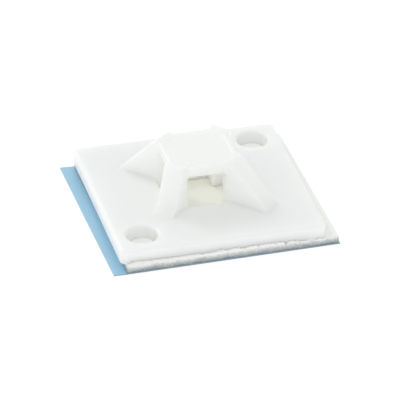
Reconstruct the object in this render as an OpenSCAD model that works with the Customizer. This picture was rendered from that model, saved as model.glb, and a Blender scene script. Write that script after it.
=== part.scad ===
// Square adhesive mount for cable ties, with a bridge that a tie passes under from any of its four sides.
// The mount is one moulding. A foam tape pad is stuck under its plate, and a release liner covers the pad.
// Millimetres, +Z up. The origin is the plate's centre, at the height of the liner's underside.
// The tie openings face -Y, +X, +Y and -X. The long legs point to the corners (-X, +Y) and (+X, -Y).

/* [Base plate] */
// Side of the square plate
plate_side = 28; // [26:0.5:40]
// Thickness of the plate
plate_t = 2.1; // [1.5:0.1:3]
// Radius of the plate's four upright corners
corner_r = 1; // [0.9:0.1:3]
// Radius of the plate's upper edges
edge_r = 0.5; // [0.2:0.05:0.8]

/* [Tie openings] */
// Width of each of the four openings under the bridge
tie_w = 5.3; // [4.8:0.1:6.5]
// Height of the openings above the plate
tie_h = 4.25; // [4.1:0.05:6]
// Radius in the upper corners of the openings
tie_corner_r = 0.5; // [0.2:0.1:0.6]

/* [Bridge table] */
// Thickness of the table that bridges the openings
table_t = 1.6; // [1.2:0.1:2.5]
// Width of the raised rim along the table's edges
rim_w = 0.5; // [0.3:0.1:1]
// Height of the rim above the middle of the table
rim_h = 0.15; // [0.05:0.05:0.4]

/* [Legs] */
// Width of the four legs
leg_w = 2.95; // [2.4:0.05:3.6]
// How far the crown of a leg stands above the table's rim
crown_rise = 0.2; // [0.1:0.05:0.5]
// Radius where a crown turns down
shoulder_r = 0.8; // [0.4:0.1:1]
// Length of a long leg, from the table's corner to its tip
long_run = 6.2; // [5:0.1:6.5]
// Length of the level stretch of a long leg's crown
long_ledge = 0.5; // [0.3:0.1:1.2]
// Thickness of a long leg at its tip
long_tip_t = 0.15; // [0.1:0.05:0.5]
// Length of the level stretch of a short leg's crown
short_ledge = 1.1; // [0.8:0.1:1.4]
// Slope of a short leg's outer side, in degrees from level
short_slope = 70; // [66:1:75]
// Radius of the hollow at a short leg's foot
foot_r = 2.4; // [1.5:0.1:2.6]

/* [Screw holes] */
// Diameter of the two screw holes
hole_d = 4.2; // [3.2:0.1:4.6]
// Distance from the plate's sides to the centre of a screw hole
hole_inset = 3.8; // [3.2:0.1:4.4]
// Width of the chamfer around the top of a screw hole
hole_chamfer = 0.25; // [0.1:0.05:0.5]

/* [Core opening] */
// How far the opening in the plate reaches past the table on each side
core_over = 0.3; // [0.1:0.1:1]

/* [Foam pad] */
// Thickness of the foam tape
foam_t = 1.1; // [0.8:0.1:1.6]
// How far the foam's left side lies inside the plate
foam_left_inset = 0.5; // [0:0.1:1]
// How far the foam sticks out past the plate's right side
foam_right_over = 1.45; // [0:0.05:2]
// How far the foam sticks out past the plate's front
foam_front_over = 0.05; // [0:0.05:1]
// How far the foam sticks out past the plate's back
foam_back_over = 0.2; // [0:0.1:1]
// Turn of the tape on the plate, in degrees, as the cutter left it
tape_turn = 1.1; // [0:0.1:2]

/* [Release liner] */
// Thickness of the liner
liner_t = 0.15; // [0.1:0.01:0.3]
// How far the liner sticks out past the foam on the left, to peel it by
liner_left_over = 1.85; // [1:0.05:4]
// How far the liner sticks out past the foam on the right
liner_right_over = 0.15; // [0.1:0.05:2]
// How far the liner sticks out past the foam at the front
liner_front_over = 0.05; // [0:0.05:1]
// How far the liner sticks out past the foam at the back
liner_back_over = 0.5; // [0.1:0.05:1]

/* [Hidden] */
// Number of facets of a round edge, and steps in the arcs of an outline
ROUND = 64;
ARC_STEPS = 8;
// Overlap of pieces of one solid, and length by which a cutter passes a face
OVER = 0.2;
// Heights of the layers, from the liner's underside
foam_z = liner_t;
plate_z = foam_z + foam_t;
crown_h = tie_h + table_t + crown_rise;
// The table's sides leave the openings free between the legs at its corners
table_w = tie_w + sqrt(2) * leg_w;
corner_s = (table_w - leg_w / sqrt(2)) / sqrt(2);
post_s = tie_w / sqrt(2) - OVER;
// Height of the posts inside the table, clear of its hollow top
post_h = tie_h + table_t - rim_h - OVER;
hole_at = plate_side / 2 - hole_inset;
// Slope of a long leg's crown, from its shoulder to its tip
long_slope = atan((crown_h - long_tip_t) / (long_run - long_ledge));

// Points of an arc about a centre, from one angle to another
function arc(centre, r, from, to) =
    [for (i = [0 : ARC_STEPS]) let (a = from + (to - from) * i / ARC_STEPS) centre + r * [cos(a), sin(a)]];

// Length of a shoulder's level and sloping sides that its arc takes up
function shoulder_cut(slope) = shoulder_r * tan(slope / 2);

// Upper outline of a shoulder whose level part would end at distance s from the centre
function shoulder(s, slope) = arc([s - shoulder_cut(slope), crown_h - shoulder_r], shoulder_r, 90, 90 - slope);

// Side of a round edge: a rectangle with its two upper corners rounded
module soft_edged(w, h, r) {
    translate([-w / 2, 0]) square([w, h - r]);
    translate([r - w / 2, 0]) square([w - 2 * r, h]);
    for (side = [-1, 1]) translate([side * (w / 2 - r), h - r]) circle(r, $fn = ROUND);
}

// Plan of the table, a square whose corners end where the legs begin
module table_plan(inset) {
    w = table_w - 2 * inset;
    intersection() {
        square(w, center = true);
        rotate(45) square(2 * (corner_s - inset), center = true);
    }
}

// The plate without its holes: two crossed slabs with soft upper edges, and a round peg in each corner
module plate_body() {
    flat = plate_side - 2 * corner_r;
    for (turn = [0, 90])
        rotate(turn) translate([0, flat / 2, 0]) rotate([90, 0, 0])
            linear_extrude(flat) soft_edged(plate_side, plate_t, edge_r);
    for (x = [-1, 1], y = [-1, 1])
        translate([x * flat / 2, y * flat / 2, 0]) corner_peg();
}

module corner_peg() {
    rotate_extrude($fn = ROUND) {
        square([corner_r, plate_t - edge_r]);
        square([corner_r - edge_r, plate_t]);
        translate([corner_r - edge_r, plate_t - edge_r]) intersection() {
            circle(edge_r, $fn = ROUND);
            square(edge_r);
        }
    }
}

// Outline of a leg from the side, in distance from the centre and height above the plate. It goes up the post
// inside the bridge to the crown's inner edge, along the points of its outer side, and down at their end.
module leg_side(outer) {
    end_s = outer[len(outer) - 1][0];
    polygon(concat([[post_s, -OVER], [post_s, post_h], [corner_s, post_h], [corner_s, crown_h]], outer,
                   [[end_s, -OVER]]));
}

// A long leg's outer side: a shoulder, then one straight slope down to a thin tip
function long_outer() = concat(shoulder(corner_s + long_ledge, long_slope), [[corner_s + long_run, long_tip_t]]);

// A short leg's outer side: a shoulder, a steep slope, and a hollow foot that runs out on the plate
function short_outer() =
    let (edge_s = corner_s + short_ledge,
         foot_s = edge_s + crown_h / tan(short_slope) + foot_r * tan(short_slope / 2))
    concat(shoulder(edge_s, short_slope), arc([foot_s, foot_r], foot_r, 270 - short_slope, 270));

// A leg along its diagonal, given the turn of that diagonal from +X
module leg(turn) {
    rotate([0, 0, turn]) rotate([90, 0, 0]) translate([0, 0, -leg_w / 2]) linear_extrude(leg_w) children();
}

module bridge() {
    translate([0, 0, tie_h]) linear_extrude(table_t) table_plan(0);
    for (turn = [135, 315]) leg(turn) leg_side(long_outer());
    for (turn = [45, 225]) leg(turn) leg_side(short_outer());
}

// Space under the bridge for a tie, along +Y
module tie_tunnel() {
    rotate([90, 0, 0]) linear_extrude(2 * table_w, center = true) soft_edged(tie_w, tie_h, tie_corner_r);
}

module mount() {
    color([0.93, 0.94, 0.93]) translate([0, 0, plate_z]) difference() {
        union() {
            plate_body();
            translate([0, 0, plate_t]) bridge();
        }
        for (turn = [0, 90]) rotate(turn) {
            translate([0, 0, plate_t]) tie_tunnel();
            translate([0, 0, plate_t / 2])
                cube([tie_w, table_w + 2 * core_over, plate_t + 2 * OVER], center = true);
        }
        translate([0, 0, plate_t + tie_h + table_t - rim_h]) linear_extrude(rim_h + OVER) table_plan(rim_w);
        for (side = [-1, 1]) translate([side * hole_at, side * hole_at, 0]) screw_hole();
    }
}

module screw_hole() {
    translate([0, 0, -OVER]) cylinder(h = plate_t + 2 * OVER, d = hole_d, $fn = ROUND);
    translate([0, 0, plate_t - hole_chamfer])
        cylinder(h = hole_chamfer + OVER, d1 = hole_d, d2 = hole_d + 2 * (hole_chamfer + OVER), $fn = ROUND);
}

// A flat sheet of the tape, given how far its four sides lie outside the plate's
module tape_sheet(t, left, right, front, back) {
    rotate(tape_turn) translate([-plate_side / 2 - left, -plate_side / 2 - front, 0])
        cube([plate_side + left + right, plate_side + front + back, t]);
}

module foam_pad() {
    color([0.95, 0.96, 0.94]) translate([0, 0, foam_z])
        tape_sheet(foam_t, -foam_left_inset, foam_right_over, foam_front_over, foam_back_over);
}

module release_liner() {
    color([0.42, 0.68, 0.86])
        tape_sheet(liner_t, liner_left_over - foam_left_inset, foam_right_over + liner_right_over,
                   foam_front_over + liner_front_over, foam_back_over + liner_back_over);
}

mount();
foam_pad();
release_liner();
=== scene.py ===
"""Looks of a four-way adhesive cable tie mount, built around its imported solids.

Three pieces replace the plain solids: the moulded nylon mount, the foam tape pad with its torn front side,
and the blue release liner. Lengths are in metres, and MM turns a length in millimetres into metres.
"""
import math

import bpy
from mathutils import Matrix, Vector, noise


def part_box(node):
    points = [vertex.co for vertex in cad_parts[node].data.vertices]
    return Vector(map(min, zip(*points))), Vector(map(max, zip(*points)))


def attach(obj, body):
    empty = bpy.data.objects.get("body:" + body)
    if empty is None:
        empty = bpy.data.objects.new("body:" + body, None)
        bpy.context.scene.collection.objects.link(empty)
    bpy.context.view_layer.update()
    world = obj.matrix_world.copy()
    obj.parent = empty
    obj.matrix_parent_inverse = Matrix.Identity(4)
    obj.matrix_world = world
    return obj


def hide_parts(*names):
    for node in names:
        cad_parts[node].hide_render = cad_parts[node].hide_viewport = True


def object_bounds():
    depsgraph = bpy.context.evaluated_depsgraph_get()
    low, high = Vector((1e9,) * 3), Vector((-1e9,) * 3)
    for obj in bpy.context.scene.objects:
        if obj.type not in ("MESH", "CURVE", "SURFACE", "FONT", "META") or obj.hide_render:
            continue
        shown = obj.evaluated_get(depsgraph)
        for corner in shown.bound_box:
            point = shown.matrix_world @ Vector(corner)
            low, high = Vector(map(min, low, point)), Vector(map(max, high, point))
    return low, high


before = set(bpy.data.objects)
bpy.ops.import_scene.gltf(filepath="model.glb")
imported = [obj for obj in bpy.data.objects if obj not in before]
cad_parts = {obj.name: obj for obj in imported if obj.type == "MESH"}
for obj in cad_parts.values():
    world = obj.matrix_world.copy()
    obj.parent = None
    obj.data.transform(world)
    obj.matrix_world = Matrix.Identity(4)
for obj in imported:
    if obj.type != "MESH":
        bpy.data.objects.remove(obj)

cad_low, cad_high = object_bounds()
MM = 0.001

# The photograph's camera. It looks at a point a little right of and below the centre of the plate's top.
CAMERA_TURN = math.radians(-14.44)  # from the mount's front, towards its left
CAMERA_RISE = math.radians(30.86)
CAMERA_DISTANCE = 671.7 * MM
AIM_RIGHT = 0.255 * MM
AIM_DOWN = 1.912 * MM
LENS = 452.4  # in millimetres, as is the sensor
SENSOR = 36.0
CLIP_START = 0.01
CLIP_END = 20

PLATE_TOP_Z = 3.35 * MM
HOLE_AT = 10.2  # mm from the plate's middle to a screw hole, both along X and along Y
HOLE_RADIUS = 2.1  # mm


def add_object(name, data):
    """A new object of that mesh, camera or light, linked to the scene."""
    obj = bpy.data.objects.new(name, data)
    bpy.context.scene.collection.objects.link(obj)
    return obj


def smoothstep(low, high, value):
    """0 below low, 1 above high, and a smooth rise between them."""
    t = min(max((value - low) / (high - low), 0.0), 1.0)
    return t * t * (3 - 2 * t)


# Camera

def make_camera():
    turn, rise = CAMERA_TURN, CAMERA_RISE
    back = Vector((math.sin(turn) * math.cos(rise), -math.cos(turn) * math.cos(rise), math.sin(rise)))
    right = Vector((math.cos(turn), math.sin(turn), 0))
    aim = Vector((0, 0, PLATE_TOP_Z)) + right * AIM_RIGHT - back.cross(right) * AIM_DOWN
    data = bpy.data.cameras.new("camera")
    data.lens = LENS
    data.sensor_width = SENSOR
    data.clip_start = CLIP_START
    data.clip_end = CLIP_END
    camera = add_object("camera", data)
    camera.location = aim + back * CAMERA_DISTANCE
    camera.rotation_euler = back.to_track_quat("Z", "Y").to_euler()
    bpy.context.scene.camera = camera


# Light and the nylon's translucency

ROOM_COLOUR = (0.98, 1.0, 0.985, 1)
ROOM_LIGHT = 0.79
ROOM_LEAN = (-0.03, 0.0, 0.06)  # what the room's light gains towards +X, +Y and +Z
FLOOR_GLOW = 0.88
FLOOR_REACH = 3.0
KEY_PLACE = Vector((-0.2, 0.4, 0.35))
KEY_SIZE = 0.12
KEY_POWER = 0.55  # W
MOST_BOUNCES = 40  # light wanders long in a white, translucent piece
DIFFUSE_BOUNCES = 32
SOFTNESS = 1.2  # gamma that lifts the shades, as the photograph's low contrast does
NYLON_DEPTH = 2.3 * MM  # how far light wanders in the nylon
DEPTH_AT_HOLES = 0.3 * MM  # the same around the screw holes, whose walls are whiter


# Material helpers

class Nodes:
    """The node tree of one new material, with its Principled shader and positions in millimetres."""

    def __init__(self, name):
        self.material = bpy.data.materials.new(name)
        self.material.use_nodes = True
        self.tree = self.material.node_tree
        self.shader = self.tree.nodes["Principled BSDF"]
        place = self.tree.nodes.new("ShaderNodeTexCoord").outputs["Object"]
        self.place = self.add("ShaderNodeMapping", {"Vector": place, "Scale": (1 / MM,) * 3}, "Vector")

    def add(self, kind, inputs, output, **settings):
        """Adds a node with those settings and inputs, each a value or an output, and returns its output."""
        node = self.tree.nodes.new(kind)
        for key, value in settings.items():
            setattr(node, key, value)
        for key, value in inputs.items():
            self.put(node, key, value)
        return node.outputs[output]

    def put(self, node, key, value):
        """Sets one input of a node to a value, or links another node's output to it."""
        if isinstance(value, bpy.types.NodeSocket):
            self.tree.links.new(value, node.inputs[key])
        else:
            node.inputs[key].default_value = value

    def set(self, **inputs):
        """Sets the shader's own sockets; an underscore stands for a space."""
        for key, value in inputs.items():
            self.put(self.shader, key.replace("_", " "), value)

    def noise(self, scale, detail=2.0, roughness=0.5, place=None):
        """Noise with about scale lumps to the millimetre."""
        inputs = {"Vector": place or self.place, "Scale": scale, "Detail": detail, "Roughness": roughness}
        return self.add("ShaderNodeTexNoise", inputs, "Fac")

    def ramp(self, value, low, high, from_low=0.35, from_high=0.65):
        """Carries value from the second range to the first, and stops at its ends."""
        inputs = {"Value": value, "From Min": from_low, "From Max": from_high, "To Min": low, "To Max": high}
        return self.add("ShaderNodeMapRange", inputs, "Result")

    def mix(self, amount, first, second):
        """A colour between first, at amount 0, and second, at amount 1."""
        node = self.tree.nodes.new("ShaderNodeMix")
        node.data_type = "RGBA"
        self.put(node, 0, amount)
        for index, colour in ((6, first), (7, second)):
            self.put(node, index, colour if isinstance(colour, bpy.types.NodeSocket) else (*colour, 1))
        return node.outputs[2]

    def level(self):
        """1 where the surface lies level, and 0 where it is upright."""
        normal = self.tree.nodes.new("ShaderNodeNewGeometry").outputs["True Normal"]
        upward = self.add("ShaderNodeSeparateXYZ", {"Vector": normal}, "Z")
        return self.add("ShaderNodeMath", {0: upward}, 0, operation="ABSOLUTE")

    def from_holes(self):
        """Distance in millimetres from the axis of the nearer screw hole."""
        reach = []
        for sign in (-1, 1):
            axis = (sign * HOLE_AT, sign * HOLE_AT, 0)
            away = self.add("ShaderNodeVectorMath", {0: self.place, 1: axis}, "Vector", operation="SUBTRACT")
            flat = self.add("ShaderNodeVectorMath", {0: away, 1: (1, 1, 0)}, "Vector", operation="MULTIPLY")
            reach.append(self.add("ShaderNodeVectorMath", {0: flat}, "Value", operation="LENGTH"))
        return self.add("ShaderNodeMath", {0: reach[0], 1: reach[1]}, 0, operation="MINIMUM")

    def bump(self, height, depth, under=None):
        """Relief of that depth in metres, on top of the relief under it."""
        inputs = {"Height": height, "Distance": depth}
        if under:
            inputs["Normal"] = under
        return self.add("ShaderNodeBump", inputs, "Normal")


def nylon_material():
    """Natural nylon: milky and translucent, satin, with faint flow marks and the mould's fine matt grain."""
    n = Nodes("natural_nylon")
    flow = n.noise(0.22, 3, 0.55)
    cloud = n.noise(1.3, 4, 0.6)
    tint = n.mix(n.ramp(flow, 0, 1), (0.98, 0.98, 0.96), (0.99, 0.99, 0.975))
    colour = n.mix(n.ramp(cloud, 0, 0.5), tint, (0.985, 0.985, 0.965))
    grain = n.noise(14, 3, 0.6)
    swell = n.noise(0.9, 2, 0.5)
    relief = n.bump(grain, 0.004 * MM, n.bump(swell, 0.02 * MM))
    n.set(Base_Color=colour, Roughness=n.ramp(cloud, 0.34, 0.46), IOR=1.53, Normal=relief)
    n.shader.subsurface_method = "RANDOM_WALK"
    depth = n.ramp(n.from_holes(), DEPTH_AT_HOLES, NYLON_DEPTH, HOLE_RADIUS + 0.3, HOLE_RADIUS + 1.3)
    n.set(Subsurface_Weight=1.0, Subsurface_Radius=(1.0, 1.0, 0.95), Subsurface_Scale=depth)
    n.set(Coat_Weight=0.4, Coat_Roughness=0.14)
    return n.material


def foam_material(bottom):
    """White foam tape: matt, with fine cells; painted shade darkens its upright sides towards the foot, a
    painted contact shadow runs along the foot, and painted shade darkens and warms the foam under the
    bridge.

    bottom is the height of the foam's underside in millimetres."""
    n = Nodes("white_foam")
    cells = n.add("ShaderNodeTexVoronoi", {"Vector": n.place, "Scale": 5.5, "Randomness": 1.0}, "Distance")
    shreds = n.noise(4, 4, 0.6)
    tint = n.mix(n.ramp(n.noise(0.6, 3), 0, 1), (0.935, 0.935, 0.91), (0.945, 0.945, 0.925))
    colour = n.mix(n.ramp(cells, 0.5, 0, 0.0, 0.3), tint, (0.925, 0.925, 0.9))
    # Painted shade: around the middle, under the bridge, the foam is darker and yellower, standing in for
    # the shade and warm bounce light there.
    middle = n.add("ShaderNodeVectorMath", {0: n.place}, "Value", operation="LENGTH")
    colour = n.mix(n.ramp(middle, 1, 0, 4.5, 7), colour, (0.905, 0.905, 0.83))
    level = n.level()
    height = n.add("ShaderNodeSeparateXYZ", {"Vector": n.place}, "Z")
    wavy = n.add("ShaderNodeMath", {0: height, 1: n.ramp(shreds, -0.12, 0.12)}, 0, operation="ADD")
    # Painted shade: the lower part of the foam's upright sides is mixed to grey, standing in for the shade
    # they lie in.
    upright = n.ramp(level, 1, 0, 0.5, 0.9)
    shade = n.ramp(wavy, upright, 0, bottom + 0.55, bottom + 1.1)
    colour = n.mix(shade, colour, (0.44, 0.465, 0.47))
    # Painted contact shadow: the foam darkens further along its foot, where it meets the liner.
    foot = n.ramp(wavy, 1, 0, bottom + 0.1, bottom + 0.5)
    colour = n.mix(foot, colour, (0.20, 0.23, 0.25))
    relief = n.bump(cells, n.ramp(level, 0.01 * MM, 0.001 * MM, 0.3, 0.8))
    relief = n.bump(shreds, n.ramp(level, 0.04 * MM, 0.004 * MM, 0.3, 0.8), relief)
    n.set(Base_Color=colour, Roughness=n.ramp(shreds, 0.8, 0.95), Normal=relief)
    n.set(Subsurface_Weight=0.3, Subsurface_Radius=(0.3, 0.3, 0.27), Subsurface_Scale=1.0 * MM)
    return n.material


def liner_material():
    """Blue release paper: fine fibres under a thin silicone coat, with painted shade on its upright cut
    edges.
    """
    n = Nodes("blue_release_paper")
    stretched = n.add("ShaderNodeMapping", {"Vector": n.place, "Scale": (1.2, 6.0, 6.0)}, "Vector")
    fibres = n.noise(1.6, 5, 0.65, stretched)
    clouds = n.noise(0.5, 3, 0.5)
    blue = n.mix(n.ramp(fibres, 0, 1), (0.25, 0.52, 0.75), (0.30, 0.58, 0.80))
    blue = n.mix(n.ramp(clouds, 0, 0.5), blue, (0.28, 0.59, 0.82))
    # Painted shade: the upright cut edges are dark grey-blue, standing in for the shade they lie in.
    colour = n.mix(n.ramp(n.level(), 1, 0, 0.3, 0.7), blue, (0.20, 0.27, 0.32))
    relief = n.bump(fibres, 0.006 * MM)
    n.set(Base_Color=colour, Roughness=n.ramp(clouds, 0.30, 0.42), Normal=relief)
    n.set(Coat_Weight=0.25, Coat_Roughness=0.2)
    return n.material


def floor_material():
    """A plain white table, bright as in a cut-out product photograph."""
    n = Nodes("white_floor")
    shade = n.mix(n.ramp(n.noise(0.01, 2), 0, 1), (0.16, 0.16, 0.16), (0.18, 0.18, 0.18))
    n.set(Base_Color=shade, Roughness=0.9, Emission_Color=(1, 1, 1, 1), Emission_Strength=FLOOR_GLOW)
    n.set(Specular_IOR_Level=0.1)
    return n.material


# Stage

def make_stage():
    """The floor, the white room and a soft light behind the mount."""
    corners = [(x * FLOOR_REACH, y * FLOOR_REACH, 0) for x, y in ((-1, -1), (1, -1), (1, 1), (-1, 1))]
    mesh = bpy.data.meshes.new("floor")
    mesh.from_pydata(corners, [], [(0, 1, 2, 3)])
    floor = add_object("floor", mesh)
    mesh.materials.append(floor_material())

    world = bpy.data.worlds.new("white_room")
    world.use_nodes = True
    tree = world.node_tree
    background = tree.nodes["Background"]
    background.inputs["Color"].default_value = ROOM_COLOUR
    lean = tree.nodes.new("ShaderNodeVectorMath")
    lean.operation = "DOT_PRODUCT"
    lean.inputs[1].default_value = ROOM_LEAN
    tree.links.new(tree.nodes.new("ShaderNodeTexCoord").outputs["Generated"], lean.inputs[0])
    light = tree.nodes.new("ShaderNodeMath")
    light.operation = "ADD"
    light.inputs[1].default_value = ROOM_LIGHT
    tree.links.new(lean.outputs["Value"], light.inputs[0])
    tree.links.new(light.outputs["Value"], background.inputs["Strength"])
    bpy.context.scene.world = world

    add_softbox("key_light", KEY_PLACE, KEY_SIZE, KEY_POWER)
    cycles = bpy.context.scene.cycles
    cycles.max_bounces = MOST_BOUNCES
    cycles.diffuse_bounces = DIFFUSE_BOUNCES

    settings = bpy.context.scene.view_settings
    settings.view_transform = "Standard"
    settings.look = "None"
    settings.gamma = SOFTNESS


def add_softbox(name, place, size, power):
    """A square light of that size, which faces the origin."""
    data = bpy.data.lights.new(name, "AREA")
    data.size = size
    data.energy = power
    light = add_object(name, data)
    light.location = place
    light.rotation_euler = place.to_track_quat("Z", "Y").to_euler()


# Remeshed solids

def remeshed(node, name, voxel, smoothing, keep, shape=None):
    """A copy of a CAD solid in fine even faces, with its edges softened and its points reshaped.

    voxel is the size of a face in millimetres, and keep the share of the faces left where they are flat.
    shape(point), where given, returns the new place of a point in millimetres."""
    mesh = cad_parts[node].data.copy()
    mesh.transform(Matrix.Scale(1 / MM, 4))
    fine = with_modifiers(mesh, [("REMESH", {"mode": "VOXEL", "voxel_size": voxel}),
                                 ("SMOOTH", {"factor": 0.5, "iterations": smoothing})])
    if shape:
        for vertex in fine.vertices:
            vertex.co = shape(vertex.co)
    light = with_modifiers(fine, [("DECIMATE", {"ratio": keep})])
    light.transform(Matrix.Scale(MM, 4))
    light.name = name
    light.materials.clear()
    light.polygons.foreach_set("use_smooth", [True] * len(light.polygons))
    return light


def with_modifiers(mesh, modifiers):
    """The mesh that those modifiers, each a type and its settings, make of one."""
    obj = add_object("work", mesh)
    for kind, settings in modifiers:
        modifier = obj.modifiers.new(kind.lower(), kind)
        for key, value in settings.items():
            setattr(modifier, key, value)
    bpy.context.view_layer.update()
    result = bpy.data.meshes.new_from_object(obj.evaluated_get(bpy.context.evaluated_depsgraph_get()))
    bpy.data.objects.remove(obj)
    return result


def stand_in(mesh, material, node):
    """A piece of that mesh, which takes a CAD node's place."""
    mesh.materials.append(material)
    piece = add_object(mesh.name, mesh)
    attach(piece, "root")
    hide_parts(node)
    return piece


def make_mount():
    """The moulding, with the soft edges and small fillets that its mould leaves."""
    mesh = remeshed("mount", "nylon_mount", voxel=0.13, smoothing=5, keep=0.45)
    stand_in(mesh, nylon_material(), "mount")


# Tape layers

def sides_of(node):
    """The upright sides of a CAD slab: where each starts, in millimetres, and its outward direction."""
    low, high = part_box(node)
    found = {(round(v.co.x / MM, 3), round(v.co.y / MM, 3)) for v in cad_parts[node].data.vertices}
    centre = (low + high) / (2 * MM)
    corners = sorted(found, key=lambda p: math.atan2(p[1] - centre.y, p[0] - centre.x))
    corners = [Vector((x, y, 0)) for x, y in corners]
    ends = corners[1:] + corners[:1]
    up = Vector((0, 0, 1))
    return [(start, (end - start).cross(up).normalized()) for start, end in zip(corners, ends)]


# Millimetres
ROUGH_BAND = 0.7  # width of the band along the foam's sides that the cutter left rough
SQUEEZED = 0.36  # how far the torn front swells up at the plate's front, on average
HOLE_BULGE = 0.55  # how far the foam swells up in the screw holes
ADHESIVE = 0.05  # how far its top lies below the plate, so that the two don't share a face
OUTLINE_STEP = 0.4  # distance of the points along the liner's outline
FREE_MARGIN = 1.8  # width of the liner's left margin, which has begun to lift
MARGIN_LIFT = 0.05  # how far its edge has lifted, on average


def make_foam():
    """The foam pad: cut sides, a torn front squeezed out under the plate, and swellings in the holes."""
    low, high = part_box("foam_pad")
    bottom, top = low.z / MM, high.z / MM
    plate_low, plate_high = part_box("mount")
    plate_front, plate_right = plate_low.y / MM, plate_high.x / MM
    sides = sides_of("foam_pad")
    holes = [Vector((sign * HOLE_AT, sign * HOLE_AT, 0)) for sign in (-1, 1)]

    def shape(point):
        """Roughens the sides, squeezes the front out and up, and swells the foam in the holes."""
        moved = point.copy()
        height = (point.z - bottom) / (top - bottom)
        for corner, out in sides:
            inset = (corner - point).dot(out)
            near = smoothstep(ROUGH_BAND, 0.0, inset)
            if near == 0:
                continue
            front = smoothstep(0.6, 0.95, -out.y)
            lumps = noise.noise(Vector((point.x * 0.8, point.y * 0.8, point.z * 0.9 + 7)))
            shreds = noise.fractal(Vector((point.x * 1.7, point.y * 1.7, point.z * 2 + 3)), 0.8, 2.0, 3)
            cells = noise.fractal(point * 3.0, 0.8, 2.0, 3)
            torn = 0.06 + 0.12 * (height - 0.5) + 0.16 * lumps + 0.10 * shreds
            moved += out * near * ((1 - front) * 0.03 * cells + front * torn)
            ahead = plate_front - moved.y
            if height > 0.5 and ahead > -0.05:
                squeezed = SQUEEZED + 0.2 * lumps + 0.18 * shreds + 0.08 * cells - 0.8 * ahead
                left = smoothstep(plate_right + 0.3, plate_right - 3.0, point.x)
                moved.z += front * left * max(0.0, squeezed)
        if height > 0.5 and moved.z <= point.z:
            moved.z -= ADHESIVE
        moved.y = max(moved.y, cad_low.y / MM)
        for hole in holes:
            reach = Vector((point.x - hole.x, point.y - hole.y, 0)).length
            if height > 0.5 and reach < HOLE_RADIUS:
                moved.z += HOLE_BULGE * smoothstep(HOLE_RADIUS, HOLE_RADIUS - 0.5, reach)
        return moved

    mesh = remeshed("foam_pad", "foam_tape", voxel=0.1, smoothing=2, keep=0.22, shape=shape)
    piece = stand_in(mesh, foam_material(bottom), "foam_pad")


def make_liner():
    """The release paper, whose free left margin has begun to lift a little."""
    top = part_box("release_liner")[1].z / MM
    sides = sides_of("release_liner")
    left, left_out = max(sides, key=lambda side: -side[1].x)
    outline = []
    for (start, _), (end, _) in zip(sides, sides[1:] + sides[:1]):
        count = int((end - start).length / OUTLINE_STEP)
        outline.extend(start + (end - start) * i / count for i in range(count))
    centre = sum((start for start, _ in sides), Vector()) / len(sides)
    # Each ring's share of the outline's distance from the centre, and 1 where it is on the top face
    rings = [(0.8, 0), (0.9, 0), (0.95, 0), (1, 0), (1, 1), (0.95, 1), (0.9, 1), (0.8, 1)]
    verts = []
    for reach, face in rings:
        for point in outline:
            flat = centre + (point - centre) * reach
            free = smoothstep(FREE_MARGIN, 0.0, (left - flat).dot(left_out))
            wave = noise.noise(Vector((flat.y * 0.12, 0.5, 2)))
            lift = free * (MARGIN_LIFT + MARGIN_LIFT * wave)
            verts.append(Vector((flat.x, flat.y, top * face + lift)) * MM)
    around = len(outline)
    faces = [tuple(reversed(range(around)))]
    for ring in range(len(rings) - 1):
        for i in range(around):
            a, b = ring * around + i, ring * around + (i + 1) % around
            faces.append((a, b, b + around, a + around))
    faces.append(tuple(range((len(rings) - 1) * around, len(rings) * around)))
    mesh = bpy.data.meshes.new("release_paper")
    mesh.from_pydata(verts, [], faces)
    stand_in(mesh, liner_material(), "release_liner")


make_camera()
make_stage()
make_mount()
make_foam()
make_liner()
